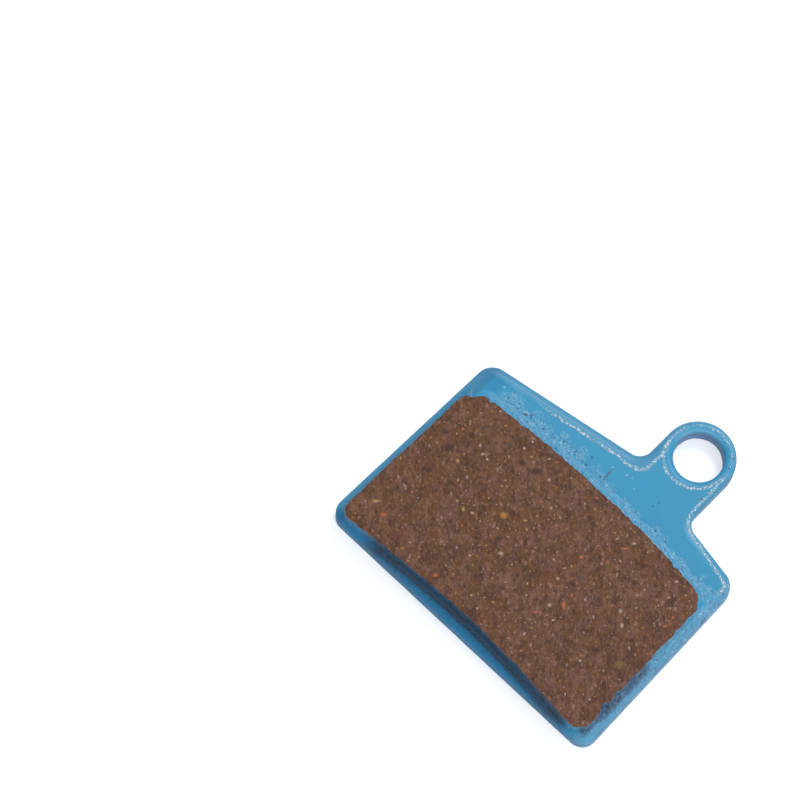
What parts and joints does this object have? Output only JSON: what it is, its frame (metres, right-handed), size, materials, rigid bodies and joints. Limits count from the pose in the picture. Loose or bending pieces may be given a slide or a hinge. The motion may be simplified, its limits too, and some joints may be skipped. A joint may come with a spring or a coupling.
{
  "type": "bicycle disc brake pad",
  "caption": "Disc brake pad: blue powder-coated steel backplate with an offset ear for a retaining pin, and a brown moulded friction block keyed through holes in the plate.",
  "frame": {"origin": "centre of the pin hole, on the back face of the backplate", "axes": "+Z from the back face towards the rotor, +Y from the plate to the ear, X along the plate's straight edge"},
  "size_m": [0.034, 0.033, 0.0038],
  "materials": {
    "powder_coat": "satin light blue powder coat on stamped steel, chipped along its sharp edges",
    "friction_compound": "matte brown friction compound, ground flat, with ochre, orange and dark grains"
  },
  "bodies": {
    "root": {"backplate": "powder_coat", "friction_block": "friction_compound"}
  },
  "joints": []
}
